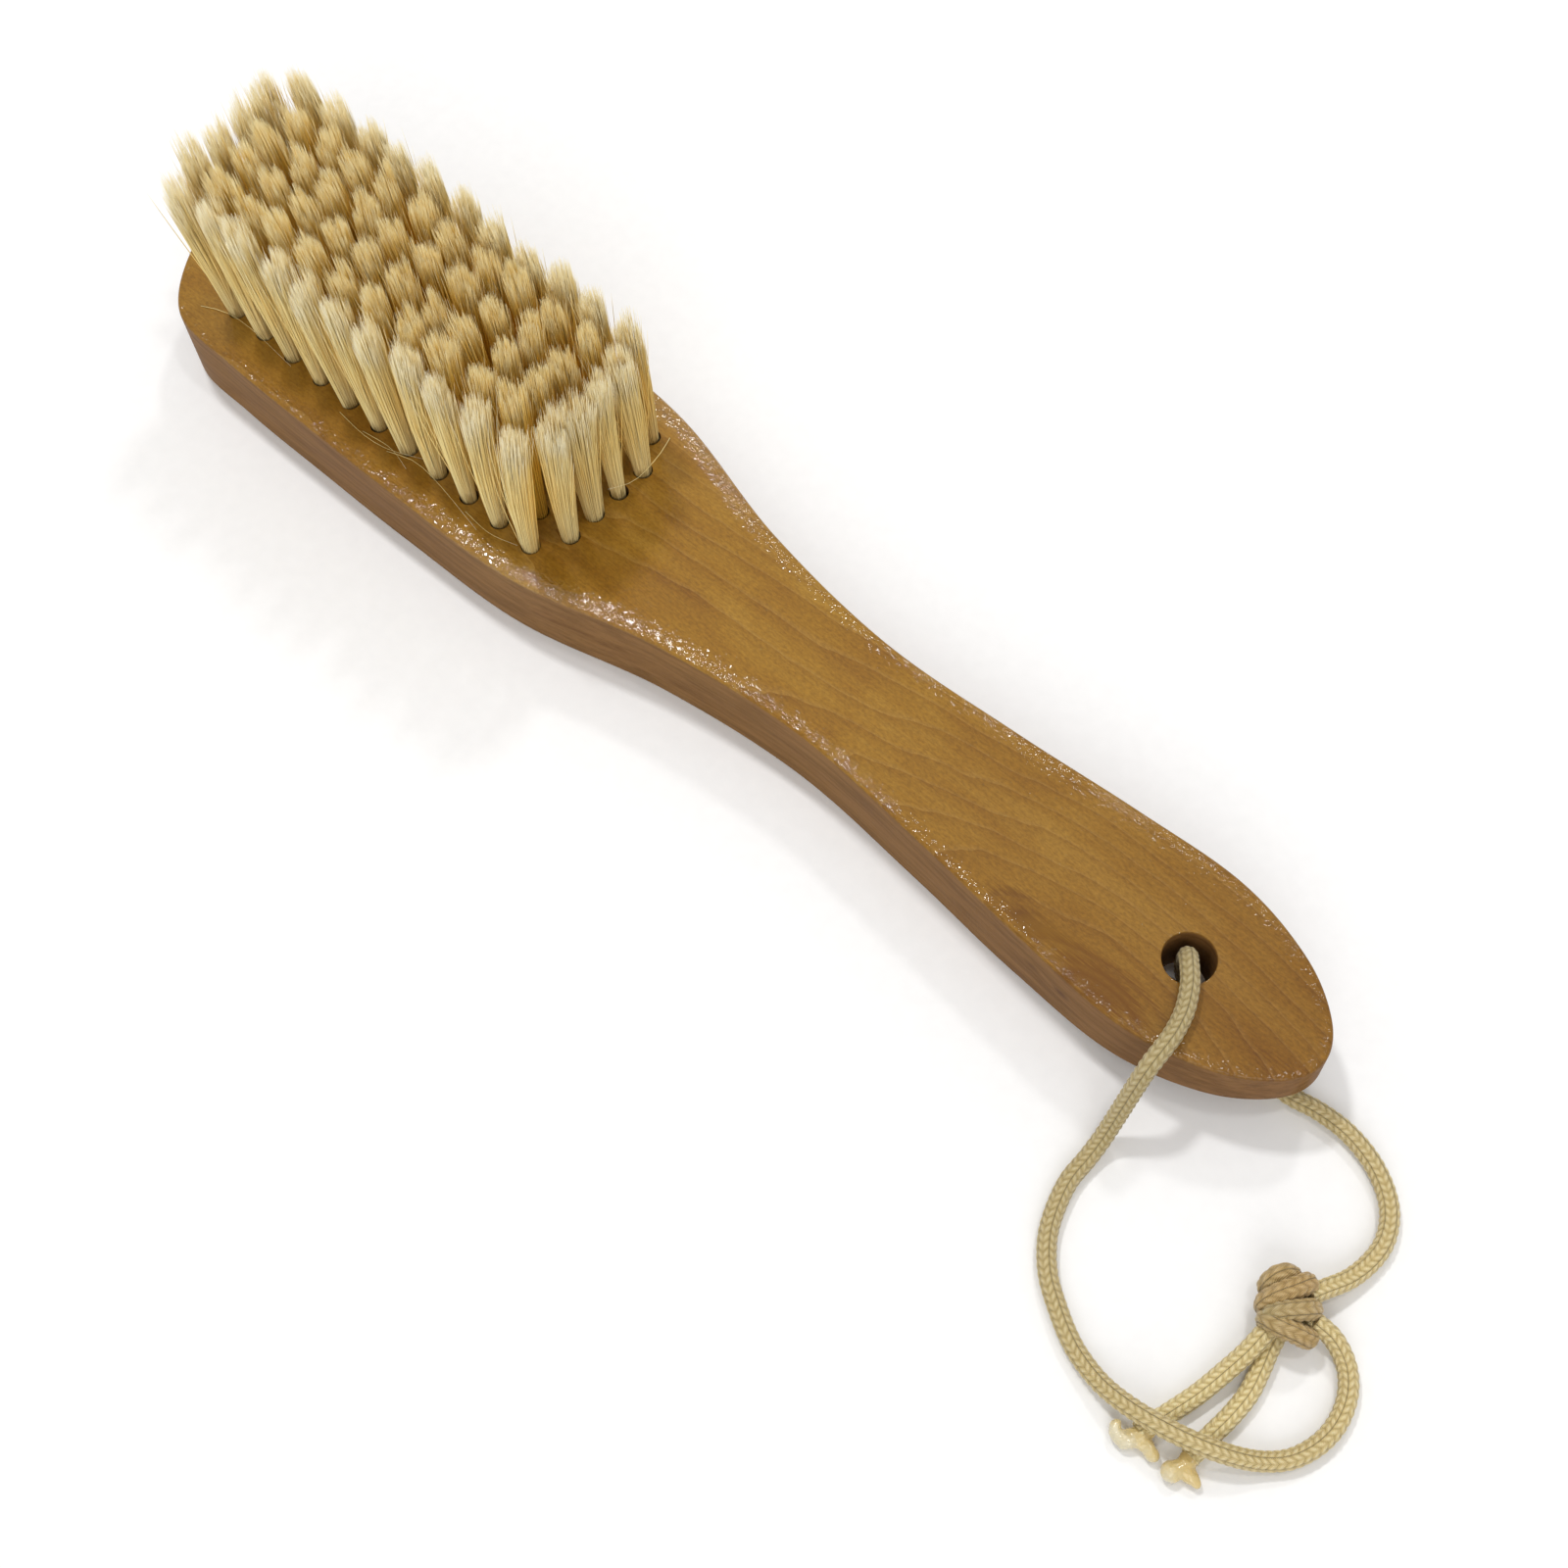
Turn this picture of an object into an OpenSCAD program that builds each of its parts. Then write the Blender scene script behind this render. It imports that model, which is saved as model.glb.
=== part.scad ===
// Wooden body dry brush with a short paddle handle, lying on its back with the bristles up.
// +X runs from the head to the handle's tip, +Z points out of the bristled face, and the
// origin is under the middle of the wood, on the surface that the flat back rests on.
// Millimetres. Each row of tufts, and each row of the wire anchors that hold them, is one node.

/* [Wooden body] */
// Length from the head's tip to the handle's tip
body_length = 234; // [230:0.5:238]
// Thickness from the flat back to the bristled face
body_thickness = 15; // [14:0.5:16]
// Greatest width of the head
head_width = 43.6; // [42:0.2:46]
// Least width, between the head and the grip
neck_width = 20.8; // [18:0.2:24]
// Greatest width of the grip
grip_width = 29.2; // [28:0.2:31]
// Rounding of the long edges
edge_round = 1.2; // [0.8:0.1:1.5]
// How far the back curves up at the handle's tip
tip_rise = 6.8; // [6.6:0.1:7.2]

/* [Hanging hole] */
// Diameter of the hole for the hanging cord
hang_hole_d = 8; // [8:0.1:8.4]
// Distance from the handle's tip to the middle of the hole
hang_hole_inset = 23.7; // [23.5:0.1:23.9]

/* [Bristles] */
// Height of the trimmed bristles above the wood
bristle_height = 28.5; // [22:0.5:34]
// Distance between tufts along a row
tuft_pitch = 7.05; // [6.8:0.05:7.1]
// Distance between rows
row_pitch = 5.5; // [5.4:0.1:5.8]
// Tufts in each of the four inner rows; the two outer rows have one fewer
tufts_inner = 12; // [8:1:12]
// Diameter of a tuft hole, which is also the diameter of the packed tuft in it
tuft_hole_d = 3.2; // [2.8:0.1:3.4]
// Depth of a tuft hole
tuft_hole_depth = 9; // [7:0.5:10]
// Diameter of a tuft at its trimmed tip
tuft_tip_d = 5.3; // [4:0.1:5.4]
// Lean of the middle tufts, in degrees; below zero they lean to the head's tip
tuft_lean = -5.4; // [-8:0.1:0]
// How much more the tufts at each end lean outwards, in degrees
tuft_fan = 3; // [0:0.5:4]

/* [Tuft anchors] */
// Thickness of an anchor's flattened wire
anchor_thickness = 0.35; // [0.3:0.05:0.5]
// Height of an anchor
anchor_height = 1.6; // [1.2:0.1:2]
// How far each end of an anchor bites into the wood
anchor_bite = 0.3; // [0.2:0.05:0.5]

/* [Hanging cord] */
// Diameter of the braided cord
cord_d = 3; // [2.8:0.1:3]

/* [Hidden] */

$fn = 48;
cord_sides = 8;
rows = 6;
cord_r = cord_d / 2;

// Outline of the wood: half widths at stations spaced evenly in the angle that sweeps the
// length from tip to tip, so that both ends come out round.
head_half = head_width / 2;
neck_half = neck_width / 2;
grip_half = grip_width / 2;
outline_half_widths = [
    0, 0.5 * head_half, 0.94 * head_half, head_half, head_half, 0.985 * head_half,
    0.92 * head_half, 1.3 * neck_half, neck_half, 0.8 * grip_half, 0.935 * grip_half,
    grip_half, 0.785 * grip_half, 0.41 * grip_half, 0
];
outline_steps = 60;   // points along each long side
rise_start = 0.775;   // share of the length where the back starts to curve up
rise_power = 1.5;     // how quickly the curve steepens

// Rounded edge: [distance in from the side, distance in from the face], each times edge_round
edge_profile = [[1, 0], [0.5, 0.13], [0.13, 0.5], [0, 1]];

// Bristle block: its middle, measured from the head's tip
block_middle = 54.2 - body_length / 2;
block_half = (tufts_inner - 1) * tuft_pitch / 2;
tuft_floor = body_thickness - tuft_hole_depth;
anchor_floor = tuft_floor + 1;
anchor_length = tuft_hole_d + 2 * anchor_bite;
tuft_base_r = 0.9 * tuft_hole_d / 2;   // a leaning tuft leaves a notch at the rim of its hole
tuft_sink = 0.4;                       // depth in the hole where the tuft starts to flare

hang_hole_x = body_length / 2 - hang_hole_inset;

// Cord routes, one point after another along the middle of the cord
on_table = cord_r;
cord_join = [92.3, 1.3, 9];
upper_route = [
    cord_join, [92.3, 1.3, 10.5], [92.7, 0.7, 13.4], [94, -1.1, 15.8], [96.1, -3.8, 16.65],
    [97.9, -7.2, 16.6], [98.8, -10.5, 16.6], [99.1, -12.9, 16.65], [99.2, -16.3, 15.8],
    [99.2, -18.5, 13.3], [99.2, -21, 9], [99.2, -23.5, 4.7], [99.3, -26, 2.4],
    [99.4, -29.1, on_table], [99.5, -33, on_table], [100.5, -37, on_table], [102, -40.6, on_table],
    [104, -43.5, on_table], [106.5, -46, on_table], [109.5, -48, on_table], [113, -50, on_table],
    [116.5, -51.4, on_table], [121, -52.4, 2.1], [125.5, -52.6, 3.6], [130.5, -52, 4.8],
    [135.5, -50.6, 4.8], [140, -48.5, 3.5], [143.5, -46, 1.8], [146.3, -43, on_table],
    [147.9, -39, on_table], [148.1, -35, on_table], [146.9, -31, on_table], [144.4, -28, 1.8],
    [140.9, -26.5, 2.8], [137.5, -26.6, 3.8]
];
lower_route = [
    cord_join, [92.3, 1.3, 7.8], [93.2, 1.2, 4.7], [95.5, 0.8, 2.4], [98.8, 0.3, on_table],
    [103.5, -0.8, on_table], [109.5, -1.9, on_table], [115, -2, on_table], [119.5, -1.1, on_table],
    [124.5, -0.9, on_table], [129.5, -2, on_table], [133.7, -4.2, on_table], [136.5, -7, on_table],
    [138.1, -10.5, on_table], [138.3, -14.2, on_table], [137.5, -18.2, 2], [135.8, -22, 3.2],
    [134.8, -24.4, 4]
];
left_tail_route = [
    [133.5, -30.4, 4.8], [133.4, -33, 4.5], [133.2, -36, 3.4], [132.6, -39.7, 2], [131.7, -44.5, on_table],
    [130.3, -49.5, on_table], [128.9, -54, on_table]
];
right_tail_route = [
    [134.7, -30.6, 2], [135.2, -33.2, 1.6], [136.1, -36.5, on_table], [136.8, -40, on_table],
    [136.8, -44, on_table], [136.4, -48, on_table], [136.1, -52, on_table]
];

// The knot is longer across the strands than along them
knot_middle = [133.7, -27.6];
knot_angle = -48;
knot_length = 11.6;
knot_thickness = 7.8;

// Each melted end is a flat blob with two lugs: [tip of the cord, first lug, second lug]
fused_r = 1.2;
left_fused_points = [[129, -54.8, fused_r], [126.6, -56, fused_r], [132.1, -54.9, fused_r]];
right_fused_points = [[136.2, -53, fused_r], [135.6, -54.9, fused_r], [138.8, -54.3, fused_r]];

// Value of a smooth curve through evenly spaced values, at position t counted in stations;
// beyond either end the values carry on mirrored, with the sign changed
function mirrored(values, i) =
    let (last = len(values) - 1)
    i < 0 ? -values[-i] : i > last ? -values[2 * last - i] : values[i];
function smooth(a, b, c, d, s) =
    b + s * ((c - a) / 2 + s * (a - 2.5 * b + 2 * c - d / 2 + s * (1.5 * (b - c) + (d - a) / 2)));
function along(values, t) =
    let (i = min(floor(t), len(values) - 2))
    smooth(mirrored(values, i - 1), values[i], values[i + 1], mirrored(values, i + 2), t - i);

// Point on the outline's near side, at share u of the way, and the outline's outward normal there
function outline_point(u) = [
    -cos(180 * u) * body_length / 2,
    -along(outline_half_widths, u * (len(outline_half_widths) - 1))
];
function outline_normal(u) =
    let (
        before = outline_point(max(u - 0.002, 0)),
        after = outline_point(min(u + 0.002, 1)),
        step = after - before
    )
    u == 0 ? [-1, 0] : u == 1 ? [1, 0] : [step.y, -step.x] / norm(step);
function near_side(u, inset) = outline_point(u) - inset * outline_normal(u);

// Height of the back above the table at x
function back_height(x) =
    let (share = (x / body_length + 0.5 - rise_start) / (1 - rise_start))
    share > 0 ? tip_rise * pow(share, rise_power) : 0;

// One closed ring round the body: the near side to the handle's tip, then the far side back
function ring_points(inset) = [
    for (i = [0 : outline_steps]) near_side(i / outline_steps, inset),
    for (i = [outline_steps - 1 : -1 : 1])
        let (p = near_side(i / outline_steps, inset)) [p.x, -p.y]
];
function lower_ring(e) = [
    for (p = ring_points(e[0] * edge_round)) [p.x, p.y, back_height(p.x) + e[1] * edge_round]
];
function upper_ring(e) = [
    for (p = ring_points(e[0] * edge_round)) [p.x, p.y, body_thickness - e[1] * edge_round]
];

// Strips that close a ring's face between its two long sides
function face_strips(first, flip) =
    let (n = outline_steps, all = 2 * n)
    [
        for (i = [0 : n - 1])
            let (
                a = first + i,
                b = first + i + 1,
                c = first + all - i - 1,
                d = first + (all - i) % all,
                strip = i == 0 ? [a, b, c] : i == n - 1 ? [a, b, d] : [a, b, c, d]
            )
            flip ? [for (k = [len(strip) - 1 : -1 : 0]) strip[k]] : strip
    ];
function ring_bands(ring_size, rings) = [
    for (k = [0 : rings - 2], i = [0 : ring_size - 1], half = [0, 1])
        let (
            a = k * ring_size + i,
            b = k * ring_size + (i + 1) % ring_size
        )
        half == 0 ? [a, a + ring_size, b] : [b, a + ring_size, b + ring_size]
];

module body_blank() {
    rings = concat(
        [for (e = edge_profile) lower_ring(e)],
        [for (k = [len(edge_profile) - 1 : -1 : 0]) upper_ring(edge_profile[k])]
    );
    size = 2 * outline_steps;
    polyhedron(
        points = [for (r = rings, p = r) p],
        faces = concat(
            face_strips(0, false),
            ring_bands(size, len(rings)),
            face_strips((len(rings) - 1) * size, true)
        )
    );
}

// Places of the tufts: rows count from the near side; the outer rows sit half a pitch inwards
function tufts_in(row) = row == 1 || row == rows ? tufts_inner - 1 : tufts_inner;
function row_y(row) = (row - (rows + 1) / 2) * row_pitch;
function tuft_places(row) = [
    for (i = [0 : tufts_in(row) - 1])
        [block_middle + (i - (tufts_in(row) - 1) / 2) * tuft_pitch, row_y(row)]
];
function lean_at(x) = tuft_lean + tuft_fan * (x - block_middle) / block_half;

module anchor(place) {
    translate([place.x - anchor_length / 2, place.y - anchor_thickness / 2, anchor_floor])
        cube([anchor_length, anchor_thickness, anchor_height]);
}

module anchor_row(row) {
    color("silver")
        for (place = tuft_places(row)) anchor(place);
}

// A packed tuft folded round its anchor, and above the wood a flaring bundle that leans
module tuft(place) {
    lean = lean_at(place.x);
    difference() {
        translate([place.x, place.y, tuft_floor])
            cylinder(d = tuft_hole_d, h = tuft_hole_depth);
        anchor(place);
    }
    translate([place.x, place.y, body_thickness - tuft_sink])
        rotate([0, lean, 0])
            cylinder(r1 = tuft_base_r, r2 = tuft_tip_d / 2, h = (bristle_height + tuft_sink) / cos(lean));
}

module tuft_row(row) {
    color("cornsilk")
        for (place = tuft_places(row)) tuft(place);
}

module wooden_body() {
    color("peru")
        difference() {
            body_blank();
            for (row = [1 : rows], place = tuft_places(row)) {
                translate([place.x, place.y, tuft_floor])
                    cylinder(d = tuft_hole_d, h = tuft_hole_depth + 1);
                anchor(place);
            }
            translate([hang_hole_x, 0, -1])
                cylinder(d = hang_hole_d, h = body_thickness + 2);
        }
}

// Direction of a route at one of its points. The side vector that places a tube's ring is
// carried along the route from ring to ring, so the tube doesn't twist or pinch where it turns.
function unit(v) = v / norm(v);
function heading(route, k) = unit(route[min(k + 1, len(route) - 1)] - route[max(k - 1, 0)]);
function carried(side, forward) = unit(side - (side * forward) * forward);
function side_at(route, k) =
    carried(k > 0 ? side_at(route, k - 1) : abs(heading(route, 0).y) < 0.8 ? [0, 1, 0] : [1, 0, 0],
        heading(route, k));

// A round tube with a ring at each point of its route
module cord_tube(route) {
    last = len(route) - 1;
    rings = [
        for (k = [0 : last])
            let (
                forward = heading(route, k),
                side = side_at(route, k),
                up = cross(forward, side)
            )
            [
                for (s = [0 : cord_sides - 1])
                    let (angle = (s + 0.5) * 360 / cord_sides)
                    route[k] + cord_r * (cos(angle) * side + sin(angle) * up)
            ]
    ];
    polyhedron(
        points = [for (r = rings, p = r) p],
        faces = concat(
            [[for (s = [0 : cord_sides - 1]) s]],
            ring_bands(cord_sides, last + 1),
            [[for (s = [cord_sides - 1 : -1 : 0]) last * cord_sides + s]]
        )
    );
}

module cord_upper_strand() {
    color("khaki") cord_tube(upper_route);
}

module cord_lower_strand() {
    color("khaki") cord_tube(lower_route);
}

module cord_tail_left() {
    color("khaki") cord_tube(left_tail_route);
}

module cord_tail_right() {
    color("khaki") cord_tube(right_tail_route);
}

// Overhand knot tied in both strands together, as its plain outer shape
module cord_knot() {
    ball_r = knot_thickness / 2;
    reach = (knot_length - knot_thickness) / 2;
    color("palegoldenrod")
        translate([knot_middle.x, knot_middle.y, ball_r])
            rotate([0, 0, knot_angle]) {
                translate([-reach, 0, 0]) sphere(r = ball_r);
                translate([reach, 0, 0]) sphere(r = ball_r);
                translate([-reach, 0, 0]) rotate([0, 90, 0]) cylinder(r = ball_r, h = 2 * reach);
            }
}

module fused_end(points) {
    hull()
        for (p = points) translate(p) sphere(r = fused_r, $fn = 24);
}

module fused_end_left() {
    color("ivory") fused_end(left_fused_points);
}

module fused_end_right() {
    color("ivory") fused_end(right_fused_points);
}

wooden_body();
tuft_row(1);  // tuft_row_1
tuft_row(2);  // tuft_row_2
tuft_row(3);  // tuft_row_3
tuft_row(4);  // tuft_row_4
tuft_row(5);  // tuft_row_5
tuft_row(6);  // tuft_row_6
anchor_row(1);  // anchor_row_1
anchor_row(2);  // anchor_row_2
anchor_row(3);  // anchor_row_3
anchor_row(4);  // anchor_row_4
anchor_row(5);  // anchor_row_5
anchor_row(6);  // anchor_row_6
cord_upper_strand();
cord_lower_strand();
cord_knot();
cord_tail_left();
cord_tail_right();
fused_end_left();
fused_end_right();
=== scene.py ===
import math

import bpy
import numpy as np
from mathutils import Matrix, Vector, noise


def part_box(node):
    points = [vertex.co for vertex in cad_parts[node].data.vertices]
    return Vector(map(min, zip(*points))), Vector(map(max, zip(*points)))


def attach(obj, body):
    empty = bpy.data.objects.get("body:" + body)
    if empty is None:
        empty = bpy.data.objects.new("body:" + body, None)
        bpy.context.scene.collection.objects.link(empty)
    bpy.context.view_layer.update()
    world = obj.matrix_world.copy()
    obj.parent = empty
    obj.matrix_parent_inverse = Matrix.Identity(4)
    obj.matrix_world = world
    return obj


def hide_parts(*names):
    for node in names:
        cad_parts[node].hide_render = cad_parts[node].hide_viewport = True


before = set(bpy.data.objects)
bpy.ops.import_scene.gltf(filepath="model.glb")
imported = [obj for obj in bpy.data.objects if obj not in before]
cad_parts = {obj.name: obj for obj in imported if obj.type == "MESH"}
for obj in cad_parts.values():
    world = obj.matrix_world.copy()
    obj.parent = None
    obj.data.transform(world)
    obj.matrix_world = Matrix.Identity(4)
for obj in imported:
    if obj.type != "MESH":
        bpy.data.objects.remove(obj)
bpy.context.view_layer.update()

# The looks of a wooden body dry brush, in metres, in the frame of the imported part: +X from the
# head to the handle's tip, +Z out of the bristled face, origin under the middle of the wood.
MM = 0.001
RANDOM = np.random.default_rng(7)

# Wood, as in the part's source, but with a smaller edge rounding and a sanded shoulder
WOOD_LOW, WOOD_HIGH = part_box("wooden_body")
LENGTH = WOOD_HIGH.x - WOOD_LOW.x
THICKNESS = WOOD_HIGH.z - WOOD_LOW.z
HEAD_HALF = 21.8 * MM
NECK_HALF = 10.4 * MM
GRIP_HALF = 14.6 * MM
OUTLINE_HALF_WIDTHS = [
    0, 0.5 * HEAD_HALF, 0.94 * HEAD_HALF, HEAD_HALF, HEAD_HALF, 0.985 * HEAD_HALF,
    0.92 * HEAD_HALF, 1.3 * NECK_HALF, NECK_HALF, 0.8 * GRIP_HALF, 0.935 * GRIP_HALF,
    GRIP_HALF, 0.785 * GRIP_HALF, 0.41 * GRIP_HALF, 0,
]
OUTLINE_STEPS = 260
RISE_START = 0.775
RISE_POWER = 1.5
TIP_RISE = 6.8 * MM
EDGE_ROUND = 0.6 * MM       # radius of the top and bottom edges
EDGE_STEPS = 7
SHOULDER_WIDTH = 4.6 * MM   # the sanded band inside the top edge falls away a little
SHOULDER_STEPS = 8
SHOULDER_DROP = 0.12 * MM
SHOULDER_EXTRA = 0.3 * MM   # and more where the head runs into the neck
SHOULDER_EXTRA_X = -20 * MM
SHOULDER_EXTRA_REACH = 29 * MM
HANG_HOLE_X = LENGTH / 2 - 23.7 * MM
HANG_HOLE_R = 4 * MM
HANG_HOLE_EASE = 0.35 * MM  # rounding of its rims

# Tufts, as in the part's source
ROWS = 6
TUFTS_INNER = 12
TUFT_PITCH = 7.05 * MM
ROW_PITCH = 5.5 * MM
TUFT_HOLE_R = 1.6 * MM
TUFT_HOLE_DEPTH = 9 * MM
BLOCK_MIDDLE = 54.2 * MM - LENGTH / 2
BLOCK_HALF = (TUFTS_INNER - 1) * TUFT_PITCH / 2
OUTER_ROW = (ROWS - 1) / 2 * ROW_PITCH   # how far the outer rows stand from the middle
BRISTLE_HEIGHT = 28.5 * MM
TUFT_LEAN = -5.4
TUFT_FAN = 3

# Cord: route points along its middle, in millimetres, as in the part's source, but for the
# start of the left tail, which lies up to 1.2 mm lower
CORD_R = 1.5 * MM
CORD_JOIN = (92.3, 1.3, 9)
UPPER_ROUTE = [
    CORD_JOIN, (92.3, 1.3, 10.5), (92.7, 0.7, 13.4), (94, -1.1, 15.8), (96.1, -3.8, 16.65),
    (97.9, -7.2, 16.6), (98.8, -10.5, 16.6), (99.1, -12.9, 16.65), (99.2, -16.3, 15.8),
    (99.2, -18.5, 13.3), (99.2, -21, 9), (99.2, -23.5, 4.7), (99.3, -26, 2.4),
    (99.4, -29.1, 1.5), (99.5, -33, 1.5), (100.5, -37, 1.5), (102, -40.6, 1.5),
    (104, -43.5, 1.5), (106.5, -46, 1.5), (109.5, -48, 1.5), (113, -50, 1.5),
    (116.5, -51.4, 1.5), (121, -52.4, 2.1), (125.5, -52.6, 3.6), (130.5, -52, 4.8),
    (135.5, -50.6, 4.8), (140, -48.5, 3.5), (143.5, -46, 1.8), (146.3, -43, 1.5),
    (147.9, -39, 1.5), (148.1, -35, 1.5), (146.9, -31, 1.5), (144.4, -28, 1.8),
    (140.9, -26.5, 2.8), (137.5, -26.6, 3.8),
]
LOWER_ROUTE = [
    CORD_JOIN, (92.3, 1.3, 7.8), (93.2, 1.2, 4.7), (95.5, 0.8, 2.4), (98.8, 0.3, 1.5),
    (103.5, -0.8, 1.5), (109.5, -1.9, 1.5), (115, -2, 1.5), (119.5, -1.1, 1.5),
    (124.5, -0.9, 1.5), (129.5, -2, 1.5), (133.7, -4.2, 1.5), (136.5, -7, 1.5),
    (138.1, -10.5, 1.5), (138.3, -14.2, 1.5), (137.5, -18.2, 2), (135.8, -22, 3.2),
    (134.8, -24.4, 4),
]
LEFT_TAIL_ROUTE = [
    (133.5, -30.4, 3.6), (133.4, -33, 3.6), (133.2, -36, 2.9), (132.6, -39.7, 2),
    (131.7, -44.5, 1.5), (130.3, -49.5, 1.5), (128.9, -54, 1.5),
]
RIGHT_TAIL_ROUTE = [
    (134.7, -30.6, 2), (135.2, -33.2, 1.6), (136.1, -36.5, 1.5), (136.8, -40, 1.5),
    (136.8, -44, 1.5), (136.4, -48, 1.5), (136.1, -52, 1.5),
]
# Melted ends, shaped more closely than in the source: chains of (x, y, z, radius)
LEFT_FUSED_BALLS = [
    [(129.6, -53.1, 1.5, 1.32), (129.2, -54.6, 1.4, 1.41), (128.1, -56, 1.3, 1.32),
     (126.6, -56.2, 1.5, 0.97), (125.9, -55.2, 1.9, 0.66)],
    [(129.2, -54.6, 1.4, 1.41), (131.1, -54.6, 1.3, 1.06), (132.2, -55.1, 1.2, 0.97)],
]
RIGHT_FUSED_BALLS = [
    [(136.2, -51.9, 1.5, 1.32), (136.1, -53.6, 1.4, 1.32), (135.4, -55, 1.4, 1.54)],
    [(136.1, -53.6, 1.4, 1.32), (137.8, -53.8, 1.3, 1.06), (138.9, -54.1, 1.1, 0.66)],
]
KNOT_MIDDLE = (133.7, -27.6, 3.9)
KNOT_ANGLE = -48


# ---------------------------------------------------------------- camera, lights and floor

# The photo's viewpoint, from a camera fit that was made outside this script
CAMERA_PLACE = Vector((0.14027, -0.11987, 0.31894))
CAMERA_TARGET = Vector((0.02921, -0.01641, 0.01))
CAMERA_ROLL = -4.98   # degrees
CAMERA_LENS = 51.96   # millimetres

LAMPS = [   # name, place, target, size, watts
    ("key_lamp", (-0.375, 0.09, 0.95), (0, 0, 0), 0.1, 3.4),
    ("back_lamp", (-0.22, 0.7, 0.95), (0.03, 0, 0), 0.12, 2),
    ("top_lamp", (0.22, 0.12, 1), (0, 0, 0), 0.08, 1),
    ("front_fill", (0.9, -0.9, 0.9), (0, 0, 0), 1.2, 7.5),
]
WORLD_COLOUR = (1, 0.985, 0.97, 1)
WORLD_STRENGTH = 0.58
FLOOR_HALF = 3
FLOOR_DROP = 0.05 * MM   # keeps the floor clear of what rests on it


def add_camera():
    data = bpy.data.cameras.new("camera")
    data.lens = CAMERA_LENS
    data.clip_start = 0.01
    camera = bpy.data.objects.new("camera", data)
    bpy.context.scene.collection.objects.link(camera)
    look = (CAMERA_TARGET - CAMERA_PLACE).to_track_quat("-Z", "Y").to_matrix().to_4x4()
    roll = Matrix.Rotation(math.radians(CAMERA_ROLL), 4, "Z")
    camera.matrix_world = Matrix.Translation(CAMERA_PLACE) @ look @ roll
    bpy.context.scene.camera = camera


def add_area_light(name, place, target, size, power):
    data = bpy.data.lights.new(name, "AREA")
    data.shape = "DISK"
    data.size = size
    data.energy = power
    light = bpy.data.objects.new(name, data)
    bpy.context.scene.collection.objects.link(light)
    light.location = place
    light.rotation_mode = "QUATERNION"
    light.rotation_quaternion = (Vector(target) - Vector(place)).to_track_quat("-Z", "Y")


def add_lights():
    for lamp in LAMPS:
        add_area_light(*lamp)
    world = bpy.data.worlds.new("pale_studio")
    world.use_nodes = True
    background = world.node_tree.nodes["Background"]
    background.inputs["Color"].default_value = WORLD_COLOUR
    background.inputs["Strength"].default_value = WORLD_STRENGTH
    bpy.context.scene.world = world
    bpy.context.scene.view_settings.view_transform = "Standard"


# ---------------------------------------------------------------- node helpers

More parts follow.
